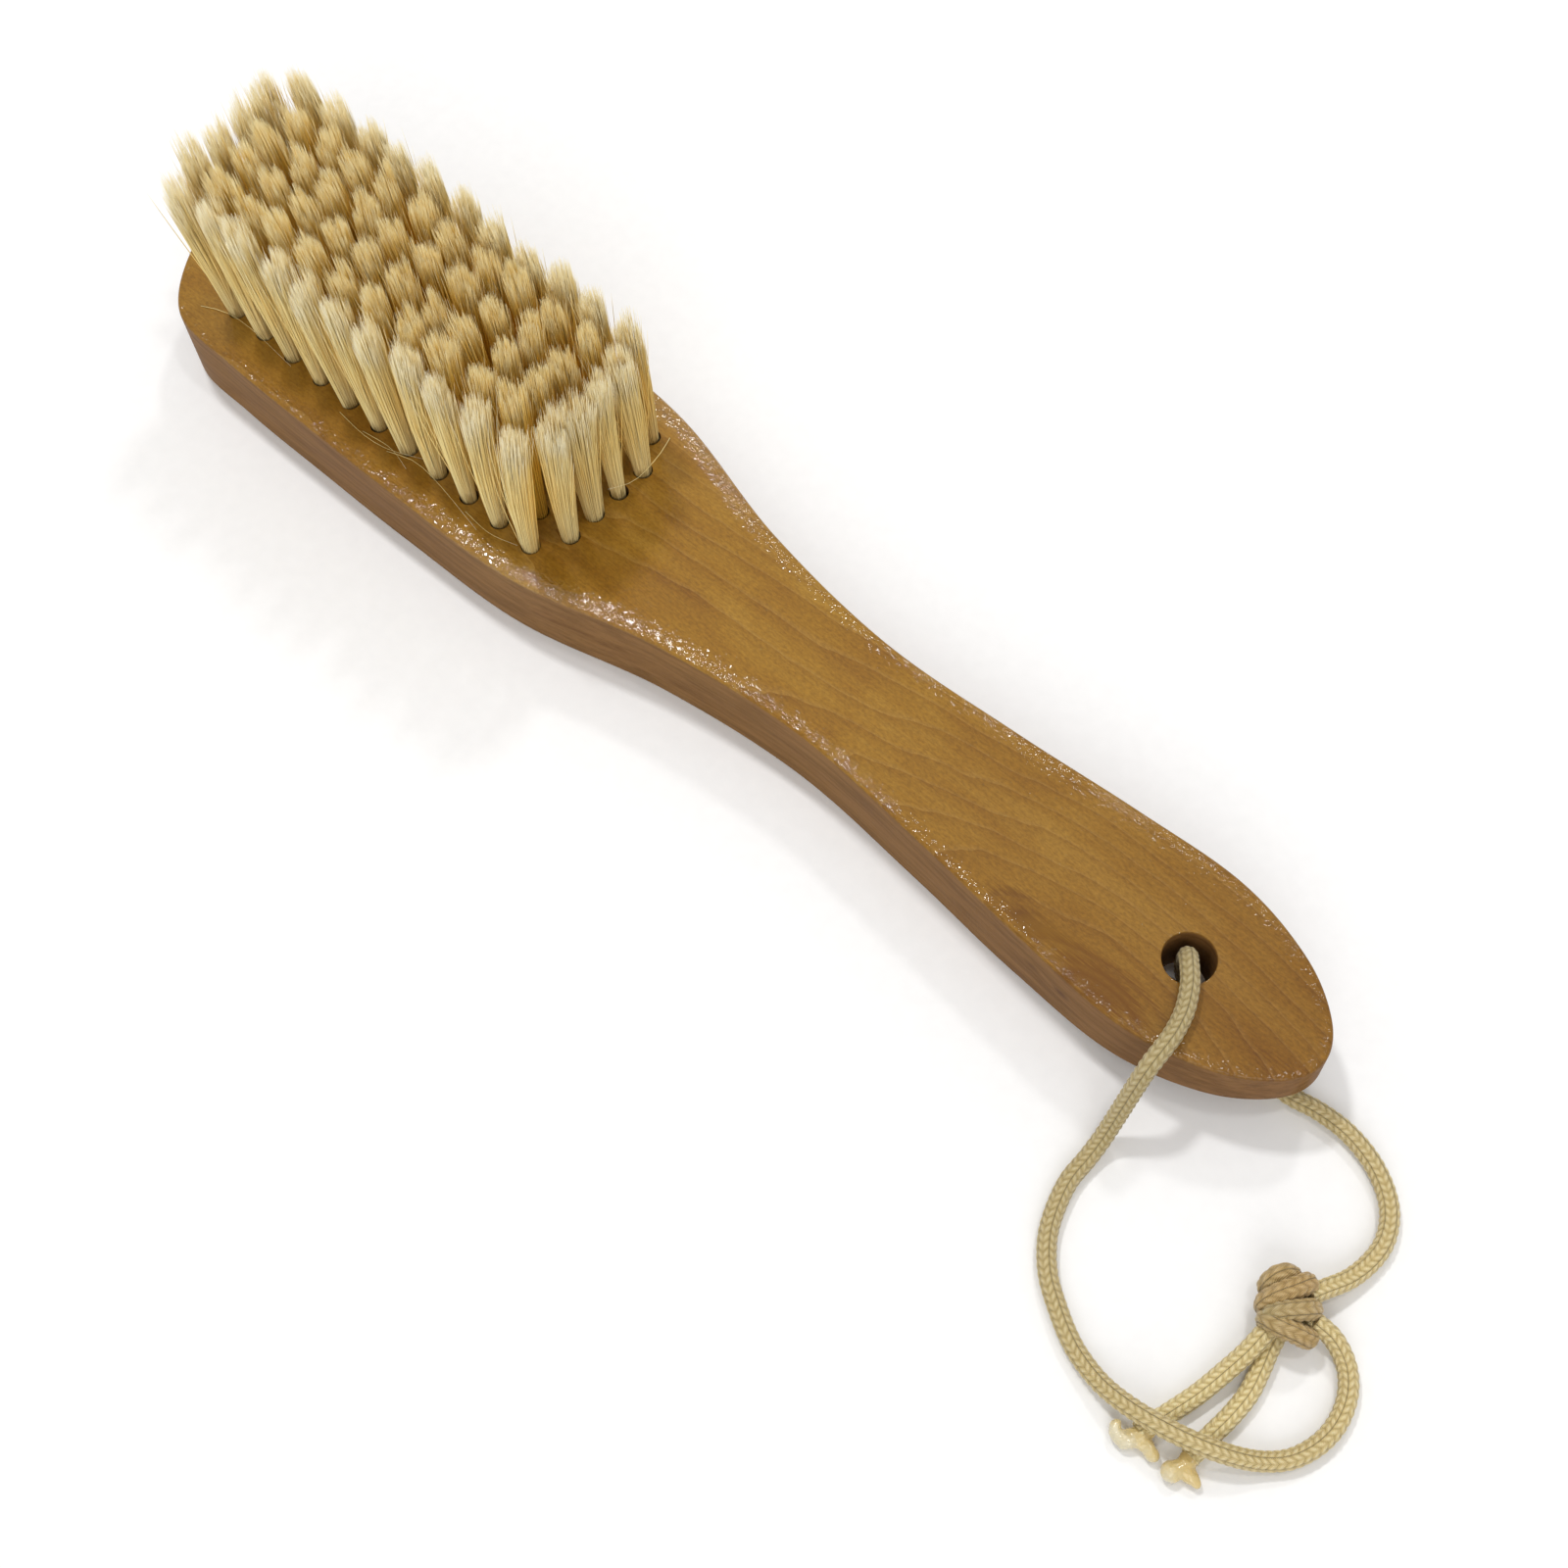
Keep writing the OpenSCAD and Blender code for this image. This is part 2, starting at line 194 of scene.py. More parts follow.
class Shader:
    """A node material with one Principled shader, and short calls that add nodes to it."""

    def __init__(self, name):
        self.material = bpy.data.materials.new(name)
        self.material.use_nodes = True
        self.tree = self.material.node_tree
        self.tree.nodes.clear()
        self.principled = self.tree.nodes.new("ShaderNodeBsdfPrincipled")
        output = self.tree.nodes.new("ShaderNodeOutputMaterial")
        self.tree.links.new(self.principled.outputs["BSDF"], output.inputs["Surface"])

    def put(self, socket, value):
        if isinstance(value, bpy.types.NodeSocket):
            self.tree.links.new(value, socket)
        elif value is not None:
            socket.default_value = value

    def set(self, **values):
        for name, value in values.items():
            self.put(self.principled.inputs[name.replace("_", " ")], value)

    def node(self, kind, **properties):
        made = self.tree.nodes.new("ShaderNode" + kind)
        for name, value in properties.items():
            setattr(made, name, value)
        return made

    def math(self, operation, a, b=None, clamp=False):
        made = self.node("Math", operation=operation, use_clamp=clamp)
        for socket, value in zip(made.inputs, (a, b)):
            self.put(socket, value)
        return made.outputs[0]

    def place_mm(self):
        """Object coordinates in millimetres."""
        scaled = self.node("VectorMath", operation="SCALE")
        self.put(scaled.inputs[0], self.node("TexCoord").outputs["Object"])
        scaled.inputs["Scale"].default_value = 1 / MM
        return scaled.outputs[0]

    def split(self, vector):
        made = self.node("SeparateXYZ")
        self.put(made.inputs[0], vector)
        return made.outputs

    def distance(self, vector, point):
        made = self.node("VectorMath", operation="DISTANCE")
        self.put(made.inputs[0], vector)
        made.inputs[1].default_value = point
        return made.outputs["Value"]

    def stretch(self, vector, scale):
        made = self.node("VectorMath", operation="MULTIPLY")
        self.put(made.inputs[0], vector)
        made.inputs[1].default_value = scale
        return made.outputs[0]

    def noise(self, vector, scale, detail=2, roughness=0.5, distortion=0.0):
        made = self.node("TexNoise")
        self.put(made.inputs["Vector"], vector)
        for name, value in (
            ("Scale", scale), ("Detail", detail), ("Roughness", roughness), ("Distortion", distortion)
        ):
            made.inputs[name].default_value = value
        return made.outputs["Fac"]

    def ramp(self, factor, stops):
        made = self.node("ValToRGB")
        self.put(made.inputs["Fac"], factor)
        elements = made.color_ramp.elements
        while len(elements) < len(stops):
            elements.new(0.5)
        for element, (position, colour) in zip(elements, stops):
            element.position = position
            element.color = (*colour, 1)
        return made.outputs["Color"]

    def mix(self, factor, a, b, blend="MIX"):
        made = self.node("Mix", data_type="RGBA", blend_type=blend)
        for name, value in (("Factor_Float", factor), ("A_Color", a), ("B_Color", b)):
            socket = next(s for s in made.inputs if s.identifier == name)
            if isinstance(value, tuple):
                value = (*value, 1)
            self.put(socket, value)
        return next(s for s in made.outputs if s.identifier == "Result_Color")

    def attribute(self, name):
        return self.node("Attribute", attribute_name=name).outputs["Fac"]

    def bump(self, height, distance):
        made = self.node("Bump")
        made.inputs["Strength"].default_value = 1
        made.inputs["Distance"].default_value = distance
        self.put(made.inputs["Height"], height)
        return made.outputs["Normal"]


# ---------------------------------------------------------------- materials

# All in millimetres
FIGURE_CENTRE = (88, -14, 15)   # middle of the growth rings on the grip
FIGURE_REACH = 24               # the most that x adds to a ring's distance from the middle
FIGURE_STRETCH = 60             # how far along the grip the rings take to straighten
RING_WIDTH = 2.9
RING_WAVER = 6
FIGURE_SPOTS = [                # orange-brown, by the grip's near edge: x, y, reach, tint
    (71, -10.4, 5.6, (0.155, 0.062, 0.004)), (78, -10.8, 6, (0.22, 0.1, 0.003)),
    (86.5, -12, 7.4, (0.18, 0.072, 0.004)),
]
SPOT_SQUASH = 0.42              # below one, a spot is longer along the grip than across it
ARC_WIDTH = 0.7
# Small pits in the near side, too faint to show: x, y
PITS = [(33.5, -13.2), (75.9, -14.4), (81.9, -14.6)]
PIT_HEIGHT = 9
PIT_SQUASH = 0.5
DARKENING_START = 25              # the wood starts to darken towards the handle's tip here
DARKENING_REACH = 75              # and is at its darkest this much further on
RUN_X = SHOULDER_EXTRA_X / MM - 3   # the lacquer ran most over the shoulder here
RUN_REACH = 20


def growth_rings(s, place):
    """Distance from the figure's middle: ovals on the grip, straightening towards the head."""
    x, y, z = s.split(place)
    along = s.math("DIVIDE", s.math("SUBTRACT", x, FIGURE_CENTRE[0]), FIGURE_STRETCH)
    along = s.math("MULTIPLY", s.math("TANH", along), FIGURE_REACH)
    across = s.math("SUBTRACT", y, FIGURE_CENTRE[1])
    depth = s.math("MULTIPLY", s.math("SUBTRACT", z, FIGURE_CENTRE[2]), 0.7)
    squares = s.math("ADD", s.math("POWER", along, 2), s.math("POWER", across, 2))
    distance = s.math("SQRT", s.math("ADD", squares, s.math("POWER", depth, 2)))
    waver = s.noise(s.stretch(place, (0.02, 0.09, 0.09)), 1, 3)
    return s.math("ADD", distance, s.math("MULTIPLY", waver, RING_WAVER))


def face_colour(s, place, ring, fibres, mottle):
    """Bands, mottle, fibres, growth rings and flecks of the flat-sawn face."""
    late = s.math("POWER", ring, 5)
    bands = s.noise(s.stretch(place, (0.012, 0.17, 0.17)), 1, 4, 0.55)
    flecks = s.noise(s.stretch(place, (0.8, 3.4, 3.4)), 1, 2, 0.5)
    tone = s.math("ADD", s.math("MULTIPLY", bands, 0.5), s.math("MULTIPLY", mottle, 0.5))
    tone = s.math("ADD", tone, s.math("MULTIPLY", fibres, 0.3))
    tone = s.math("SUBTRACT", tone, s.math("MULTIPLY", late, 0.07))
    colour = s.ramp(tone, [
        (0.39, (0.158, 0.061, 0.005)), (0.48, (0.228, 0.102, 0.007)),
        (0.62, (0.275, 0.135, 0.012)), (0.76, (0.321, 0.171, 0.022)),
    ])
    pale_line = s.math("SUBTRACT", 1, s.math("MULTIPLY", ring, 7), clamp=True)
    colour = s.mix(s.math("MULTIPLY", pale_line, 0.3), colour, (0.347, 0.203, 0.056))
    colour = s.mix(s.math("MULTIPLY", late, 0.24), colour, (0.141, 0.059, 0.009))
    flecks = s.math("SUBTRACT", flecks, 0.62, clamp=True)
    dark_flecks = s.math("MULTIPLY", flecks, 2.2, clamp=True)
    return s.mix(dark_flecks, colour, (0.148, 0.07, 0.017))


def add_figure(s, colour, place, rings, ring, fibres):
    """Ragged orange-brown spots with arcs that follow the growth rings."""
    arcs = s.math("PINGPONG", rings, ARC_WIDTH)
    strength = s.math("ADD", 0.6, s.math("MULTIPLY", arcs, 0.55))
    squashed = s.stretch(place, (SPOT_SQUASH, 1, 1))
    for x, y, reach, tint in FIGURE_SPOTS:
        away = s.distance(squashed, (SPOT_SQUASH * x, y, THICKNESS / MM))
        ragged = s.math("ADD", away, s.math("MULTIPLY", fibres, 8))
        ragged = s.math("ADD", ragged, s.math("MULTIPLY", ring, 2))
        past = s.math("DIVIDE", s.math("SUBTRACT", ragged, reach), 2)
        inside = s.math("SUBTRACT", 1, past, clamp=True)
        colour = s.mix(s.math("MULTIPLY", inside, strength), colour, tint)
    return colour


def add_pits(s, colour, place, fibres):
    squashed = s.stretch(place, (PIT_SQUASH, 1, 1))
    for x, y in PITS:
        away = s.distance(squashed, (PIT_SQUASH * x, y, PIT_HEIGHT))
        wobble = s.math("ADD", away, s.math("MULTIPLY", fibres, 1.2))
        pit = s.math("SUBTRACT", 1.5, s.math("MULTIPLY", wobble, 0.9), clamp=True)
        colour = s.mix(pit, colour, (0.07, 0.03, 0.012))
    return colour


def lacquer_skin(s, place, upright, grain):
    """Fine pebbles all over, crinkled where the lacquer ran over the sanded edge.

    Returns the relief, and how thickly the lacquer ran.
    """
    x, _, z = s.split(place)
    edge = s.math("MULTIPLY", s.math("SUBTRACT", THICKNESS / MM, z), 8, clamp=True)
    edge = s.math("MULTIPLY", edge, s.math("SUBTRACT", 1, upright))
    pebbles = s.noise(place, 1.5, 2, 0.5)
    crinkles = s.noise(s.stretch(place, (0.8, 1, 1)), 1.25, 1, 0.5, 1)
    run = s.math("DIVIDE", s.math("SUBTRACT", x, RUN_X), RUN_REACH)
    run = s.math("POWER", math.e, s.math("MULTIPLY", s.math("POWER", run, 2), -1))
    crinkles = s.math("MULTIPLY", crinkles, s.math("ADD", 1.1, s.math("MULTIPLY", run, 0.5)))
    skin = s.math("ADD", s.math("MULTIPLY", pebbles, 0.24), s.math("MULTIPLY", grain, 0.08))
    crinkles = s.math("MULTIPLY", crinkles, edge)
    skin = s.math("ADD", skin, s.math("MULTIPLY", crinkles, 0.95))
    return s.bump(skin, 0.2 * MM), s.math("MULTIPLY", edge, run)


def wood_material():
    s = Shader("lacquered_wood")
    place = s.place_mm()
    rings = growth_rings(s, place)
    ring = s.math("FRACT", s.math("DIVIDE", rings, RING_WIDTH))
    fibres = s.noise(s.stretch(place, (0.16, 3.2, 3.2)), 1, 4, 0.65)
    mottle = s.noise(s.stretch(place, (0.05, 0.08, 0.08)), 1, 3, 0.6, 0.6)
    colour = face_colour(s, place, ring, fibres, mottle)

    # fine grain, partly painted sheen: its brightest, bluish specks are painted glints of the satin
    # finish
    grain = s.noise(s.stretch(place, (1.1, 2.4, 2.4)), 1, 3, 0.7)
    colour = s.mix(0.55, colour, s.ramp(grain, [
        (0.36, (0.68, 0.64, 0.58)), (0.5, (1, 1, 1)), (0.68, (1.35, 1.35, 1.4)),
    ]), "MULTIPLY")
    colour = add_figure(s, colour, place, rings, ring, fibres)

    # the wood is a little darker towards the handle's tip
    tip_darkening = s.math("SUBTRACT", s.split(place)[0], DARKENING_START)
    tip_darkening = s.math("MULTIPLY", tip_darkening, 1 / DARKENING_REACH, clamp=True)
    colour = s.mix(s.math("MULTIPLY", tip_darkening, 0.85), colour, (0.72, 0.65, 0.68), "MULTIPLY")

    # the sides show quarter-sawn wood, pinker and greyer, and are painted darker than the top: partly
    # real tone, partly painted shade
    facing_up = s.math("ABSOLUTE", s.split(s.node("NewGeometry").outputs["Normal"])[2])
    upright = s.math("SUBTRACT", 1, s.math("MULTIPLY", facing_up, 1.6), clamp=True)
    side_grain_and_shade = s.ramp(s.noise(s.stretch(place, (0.05, 0.6, 0.9)), 1, 4, 0.6), [
        (0.35, (0.144, 0.068, 0.023)), (0.6, (0.225, 0.113, 0.041)),
    ])
    colour = s.mix(s.math("MULTIPLY", upright, 0.88), colour, side_grain_and_shade)
    colour = add_pits(s, colour, place, fibres)

    relief, run = lacquer_skin(s, place, upright, grain)
    rough = s.math("ADD", 0.46, s.math("MULTIPLY", mottle, 0.2))
    coat = s.math("SUBTRACT", 0.3, s.math("MULTIPLY", upright, 0.24))
    coat = s.math("ADD", coat, s.math("MULTIPLY", run, 0.65))
    gloss = s.math("SUBTRACT", 0.12, s.math("MULTIPLY", upright, 0.08))
    s.set(Base_Color=colour, Roughness=rough, Normal=relief, Coat_Normal=relief)
    s.set(Coat_Weight=coat, Coat_Roughness=0.03, Coat_IOR=1.7, Specular_IOR_Level=gloss)
    return s.material


def bristle_material():
    s = Shader("bristle")
    along = s.attribute("along")
    tone = s.attribute("tone")
    streak = s.noise(s.stretch(s.place_mm(), (1.2, 1.2, 0.25)), 1, 2)
    height = s.math("ADD", along, s.math("MULTIPLY", s.math("SUBTRACT", streak, 0.5), 0.25))
    # both ramps are painted dark at the roots, where the hairs sink into their holes: painted shade
    pale = s.ramp(height, [
        (0.0, (0.5, 0.37, 0.15)), (0.07, (0.95, 0.81, 0.42)), (0.5, (0.97, 0.79, 0.34)),
        (0.8, (0.96, 0.82, 0.42)), (0.98, (1, 0.95, 0.74)),
    ])
    # hairs deep in the block get a painted amber glow, standing in for light scattered through the
    # bristles
    amber_glow = s.ramp(height, [
        (0.0, (0.5, 0.27, 0.03)), (0.4, (1, 0.6, 0.07)), (0.76, (1, 0.68, 0.13)),
        (0.88, (0.9, 0.68, 0.24)), (1.0, (0.93, 0.83, 0.52)),
    ])
    colour = s.mix(s.attribute("deep"), pale, amber_glow)
    shade = s.ramp(tone, [(0, (0.95, 0.88, 0.74)), (0.4, (0.98, 0.96, 0.92)), (1, (1, 1, 1))])
    colour = s.mix(1.0, colour, shade, "MULTIPLY")
    s.set(Base_Color=colour, Roughness=0.5, Specular_IOR_Level=0.18)
    return s.material


def wire_material():
    s = Shader("anchor_wire")
    place = s.place_mm()
    brushed = s.noise(s.stretch(place, (0.6, 14, 14)), 1, 3)
    s.set(
        Base_Color=s.ramp(brushed, [(0.3, (0.5, 0.49, 0.46)), (0.7, (0.68, 0.67, 0.64))]),
        Metallic=1.0,
        Roughness=s.math("ADD", 0.24, s.math("MULTIPLY", brushed, 0.2)),
        Normal=s.bump(brushed, 0.02 * MM),
    )
    return s.material


def cord_material():
    s = Shader("cord_braid")
    place = s.place_mm()
    raised = s.attribute("raised")
    lane = s.attribute("lane")
    fibres = s.noise(place, 3.5, 3, 0.6)
    soil = s.noise(place, 0.12, 2)
    # darker in the gaps between stitches, paler on the stitch tops: painted shade and painted
    # highlight
    height = s.math("ADD", raised, s.math("MULTIPLY", s.math("SUBTRACT", fibres, 0.5), 0.35))
    colour = s.ramp(height, [
        (0.05, (0.54, 0.41, 0.15)), (0.4, (0.7, 0.56, 0.25)),
        (0.75, (0.82, 0.68, 0.34)), (1.0, (0.95, 0.84, 0.5)),
    ])
    # darker where the strands leave the hole, painted brighter towards the tails' ends: painted shade
    # and painted glow; the knot is darker towards its middle
    dirt_and_shade_tint = s.ramp(s.attribute("dirt_and_shade"), [
        (0, (1, 1, 1)), (0.25, (0.82, 0.79, 0.76)), (0.6, (0.52, 0.5, 0.48)), (1, (0.56, 0.43, 0.31)),
    ])
    colour = s.mix(1.0, colour, dirt_and_shade_tint, "MULTIPLY")
    colour = s.mix(s.math("MULTIPLY", soil, 0.25), colour, (0.45, 0.36, 0.19))
    filaments = s.math("SINE", s.math("MULTIPLY", lane, 40))
    relief = s.bump(s.math("ADD", filaments, fibres), 0.03 * MM)
    s.set(Base_Color=colour, Roughness=0.4, Normal=relief, Specular_IOR_Level=0.4)
    s.set(Sheen_Weight=0.25, Sheen_Roughness=0.4, Sheen_Tint=(1, 0.95, 0.8, 1))
    s.set(Subsurface_Weight=0.15, Subsurface_Radius=(0.0008, 0.0006, 0.0003), Subsurface_Scale=1.0)
    return s.material


MELT_START = -53.2   # the cord is clean down to this y, in millimetres, then milky


def fused_material():
    s = Shader("fused_cord")
    place = s.place_mm()
    cloud = s.noise(place, 0.6, 3, 0.5)
    melted = s.math("SUBTRACT", MELT_START, s.split(place)[1])
    melted = s.math("ADD", s.math("MULTIPLY", melted, 0.28), s.math("SUBTRACT", cloud, 0.5))
    s.set(
        Base_Color=s.ramp(melted, [
            (0.05, (0.84, 0.64, 0.26)), (0.5, (0.86, 0.7, 0.34)), (1.0, (0.9, 0.83, 0.6)),
        ]),
        Roughness=s.math("ADD", 0.1, s.math("MULTIPLY", cloud, 0.25)),
        Normal=s.bump(s.noise(place, 1.6, 2), 0.12 * MM),
        Transmission_Weight=0.35,
        IOR=1.5,
        Coat_Weight=0.4,
        Coat_Roughness=0.08,
    )
    return s.material


def floor_material():
    s = Shader("pale_floor")
    grain = s.noise(s.place_mm(), 0.4, 3)
    s.set(
        Base_Color=s.ramp(grain, [(0.3, (0.86, 0.86, 0.86)), (0.7, (0.88, 0.88, 0.88))]),
        Roughness=0.85,
        Specular_IOR_Level=0.2,
    )
    return s.material


# ---------------------------------------------------------------- mesh helpers

def mesh_object(name, vertices, faces, material, smooth_angle=None, attributes=None):
    mesh = bpy.data.meshes.new(name)
    mesh.from_pydata(vertices, [], faces)
    for attribute, values in (attributes or {}).items():
        layer = mesh.attributes.new(attribute, "FLOAT", "POINT")
        layer.data.foreach_set("value", np.asarray(values, np.float32))
    mesh.polygons.foreach_set("use_smooth", [True] * len(mesh.polygons))
    if smooth_angle is not None:
        mesh.set_sharp_from_angle(angle=math.radians(smooth_angle))
    mesh.materials.append(material)
    made = bpy.data.objects.new(name, mesh)
    bpy.context.scene.collection.objects.link(made)
    return made


def unit(vectors):
    return vectors / np.maximum(np.linalg.norm(vectors, axis=-1, keepdims=True), 1e-12)


def apply_modifiers(piece):
    depsgraph = bpy.context.evaluated_depsgraph_get()
    depsgraph.update()
    mesh = bpy.data.meshes.new_from_object(piece.evaluated_get(depsgraph))
    old = piece.data
    piece.modifiers.clear()
    piece.data = mesh
    bpy.data.meshes.remove(old)


CURVE_STEPS = 24
CURVE_PASSES = 12


def smooth_line(points, step):
    """Points at an even step along a smooth curve through the given points."""
    points = np.asarray(points, float)
    padded = np.vstack((2 * points[0] - points[1], points, 2 * points[-1] - points[-2]))
    pieces = []
    for i in range(len(points) - 1):
        a, b, c, d = padded[i:i + 4]
        t = np.linspace(0, 1, CURVE_STEPS, endpoint=False)[:, None]
        bend = 2 * b + (c - a) * t + (2 * a - 5 * b + 4 * c - d) * t**2
        pieces.append((bend + (3 * b - a - 3 * c + d) * t**3) / 2)
    curve = np.vstack((*pieces, points[-1:]))
    for _ in range(CURVE_PASSES):   # takes the slight kinks out at the given points
        curve[1:-1] = (curve[:-2] + 2 * curve[1:-1] + curve[2:]) / 4
    reach = np.concatenate(([0], np.cumsum(np.linalg.norm(np.diff(curve, axis=0), axis=1))))
    count = max(int(round(reach[-1] / step)), 2)
    at = np.linspace(0, reach[-1], count + 1)
    return np.stack([np.interp(at, reach, curve[:, k]) for k in range(3)], axis=1)


def carried_sides(line):
    """Forward, side and up vectors that go along a line without twisting."""
    forward = unit(np.gradient(line, axis=0))
    sides = np.zeros_like(line)
    side = np.cross(forward[0], (0.3, 0.2, 1))
    for i, ahead in enumerate(forward):
        side = side - ahead * side.dot(ahead)
        side /= np.linalg.norm(side)
        sides[i] = side
    return forward, sides, np.cross(forward, sides)


# ---------------------------------------------------------------- wooden body

def outline_value(t):
    """Half width at t, counted in stations, on a smooth curve that carries on mirrored."""
    half = OUTLINE_HALF_WIDTHS
    values = np.array([-half[1]] + half + [-half[-2]])
    i = np.minimum(np.floor(t).astype(int), len(half) - 2)
    a, b, c, d = (values[i + k] for k in range(4))
    f = t - i
    cubic = 1.5 * (b - c) + (d - a) / 2
    return b + f * ((c - a) / 2 + f * (a - 2.5 * b + 2 * c - d / 2 + f * cubic))


def near_outline():
    """The near side's points from the head's tip to the handle's tip, and the outward normals."""
    u = np.linspace(0, 1, OUTLINE_STEPS + 1)

    def point(share):
        share = np.clip(share, 0, 1)
        return np.stack((
            -np.cos(np.pi * share) * LENGTH / 2,
            -outline_value(share * (len(OUTLINE_HALF_WIDTHS) - 1)),
        ), axis=1)

    points = point(u)
    step = point(u + 0.002) - point(u - 0.002)
    normals = unit(np.stack((step[:, 1], -step[:, 0]), axis=1))
    normals[0], normals[-1] = (-1, 0), (1, 0)
    return points, normals


def back_height(x):
    share = np.clip((x / LENGTH + 0.5 - RISE_START) / (1 - RISE_START), 0, 1)
    return TIP_RISE * share**RISE_POWER


def shoulder_drop(x):
    away = (x - SHOULDER_EXTRA_X) / SHOULDER_EXTRA_REACH
    return SHOULDER_DROP + SHOULDER_EXTRA * np.exp(-away**2)


def body_profile():
    """(inset, height from the face, share of the shoulder's drop), for the back and for the top."""
    back, top = [(SHOULDER_WIDTH, 0, 0)], []
    for k in range(EDGE_STEPS + 1):
        turn = math.pi / 2 * k / EDGE_STEPS
        back.append((EDGE_ROUND * (1 - math.sin(turn)), EDGE_ROUND * (1 - math.cos(turn)), 0))
        turn *= 0.93   # the top's rounding stops short and runs on into the shoulder
        top.append((EDGE_ROUND * (1 - math.cos(turn)), EDGE_ROUND * (1 - math.sin(turn)), 1))
    first = top[-1][0]
    for k in range(1, SHOULDER_STEPS + 1):
        share = k / SHOULDER_STEPS
        top.append((first + (SHOULDER_WIDTH - first) * share, 0, (1 - share)**2))
    top.append((SHOULDER_WIDTH + 0.3 * MM, 0, 0))
    return back, top


def body_blank(material):
    points, normals = near_outline()
    back, top = body_profile()
    rings = []
    for layer, profile in (("back", back), ("top", top)):
        for inset, height, drop in profile:
            ring = points - inset * normals
            if layer == "back":
                z = back_height(ring[:, 0]) + height
            else:
                z = THICKNESS - height - drop * shoulder_drop(ring[:, 0])
            near = np.column_stack((ring, z))
            far = near[-2:0:-1] * (1, -1, 1)
            rings.append(np.vstack((near, far)))
    size = len(rings[0])
    faces = []
    for k in range(len(rings) - 1):
        for i in range(size):
            a, b = k * size + i, k * size + (i + 1) % size
            faces.append((a, b, b + size, a + size))
    for first, flip in ((0, True), ((len(rings) - 1) * size, False)):
        for i in range(OUTLINE_STEPS):
            strip = [first + i, first + i + 1, first + (size - i - 1), first + (size - i) % size]
            if i == 0:
                strip = [first, first + 1, first + size - 1]
            if i == OUTLINE_STEPS - 1:
                strip = [first + i, first + i + 1, first + (size - i)]
            faces.append(strip[::-1] if flip else strip)
    return mesh_object("wooden_body_turned", np.vstack(rings).tolist(), faces, material)


def cutter(material):
    """Blind tuft holes and the hanging hole with its eased rims, as one mesh to cut with."""
    vertices, faces = [], []

    def turned(x, y, profile, sides):
        first = len(vertices)
        for radius, z in profile:
            for k in range(sides):
                turn = 2 * math.pi * k / sides
                vertices.append((x + radius * math.cos(turn), y + radius * math.sin(turn), z))
        for j in range(len(profile) - 1):
            for k in range(sides):
                a, b = first + j * sides + k, first + j * sides + (k + 1) % sides
                faces.append((a, b, b + sides, a + sides))
        faces.append([first + k for k in range(sides - 1, -1, -1)])
        faces.append([first + (len(profile) - 1) * sides + k for k in range(sides)])

    for x, y in all_tuft_places():
        floor = THICKNESS - TUFT_HOLE_DEPTH
        turned(x, y, [(TUFT_HOLE_R, floor), (TUFT_HOLE_R, THICKNESS + 1 * MM)], 28)
    ease = HANG_HOLE_EASE
    back = float(back_height(np.array([HANG_HOLE_X]))[0])
    turned(HANG_HOLE_X, 0, [
        (HANG_HOLE_R + 2 * MM, back - 2 * MM), (HANG_HOLE_R, back + ease),
        (HANG_HOLE_R, THICKNESS - ease), (HANG_HOLE_R + ease * 0.3, THICKNESS - ease * 0.3),
        (HANG_HOLE_R + ease, THICKNESS), (HANG_HOLE_R + ease + 0.5 * MM, THICKNESS + 0.5 * MM),
    ], 72)
    return mesh_object("cutter", vertices, faces, material)


def add_wood(material):
    body = body_blank(material)
    tool = cutter(material)
    cut = body.modifiers.new("holes", "BOOLEAN")
    cut.operation = "DIFFERENCE"
    cut.solver = "EXACT"
    cut.object = tool
    apply_modifiers(body)
    bpy.data.objects.remove(tool)
    mesh = body.data
    mesh.polygons.foreach_set("use_smooth", [True] * len(mesh.polygons))
    mesh.set_sharp_from_angle(angle=math.radians(20))
    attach(body, "root")
    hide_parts("wooden_body")


# ---------------------------------------------------------------- bristles

def tuft_places(row):
    count = TUFTS_INNER - 1 if row in (1, ROWS) else TUFTS_INNER
    y = (row - (ROWS + 1) / 2) * ROW_PITCH
    return [(BLOCK_MIDDLE + (i - (count - 1) / 2) * TUFT_PITCH, y) for i in range(count)]


def all_tuft_places():
    return [place for row in range(1, ROWS + 1) for place in tuft_places(row)]


def hairs(lines, radii, looks, reference):
    """Thin tapered three-sided hairs along the given lines: lines is hairs by knots by 3.

    looks holds values for the shader, each for every hair or for every knot of every hair.
    """
    count, knots, _ = lines.shape
    forward = unit(np.gradient(lines, axis=1))
    side = unit(np.cross(reference, forward))
    up = np.cross(forward, side)
    turn = 2 * np.pi * np.arange(3) / 3
    spread = np.cos(turn)[:, None] * side[:, :, None, :]
    spread = spread + np.sin(turn)[:, None] * up[:, :, None, :]
    vertices = lines[:, :, None, :] + radii[:, :, None, None] * spread
    index = np.arange(count * knots * 3).reshape(count, knots, 3)
    low, high = index[:, :-1], index[:, 1:]
    walls = np.stack((low, np.roll(low, -1, 2), np.roll(high, -1, 2), high), axis=-1)
    return {
        "vertices": vertices.reshape(-1, 3),
        "faces": [walls.reshape(-1, 4), index[:, 0, ::-1], index[:, -1]],
        "looks": {
            key: np.repeat(values.reshape(-1), 3 * count * knots // values.size)
            for key, values in looks.items()
        },
    }


def hair_object(name, sets, material):
    faces, first = [], 0
    for hair_set in sets:
        for group in hair_set["faces"]:
            faces += (group + first).tolist()
        first += len(hair_set["vertices"])
    vertices = np.vstack([hair_set["vertices"] for hair_set in sets]).tolist()
    attributes = {
        key: np.concatenate([hair_set["looks"][key] for hair_set in sets])
        for key in sets[0]["looks"]
    }
    return mesh_object(name, vertices, faces, material, attributes=attributes)


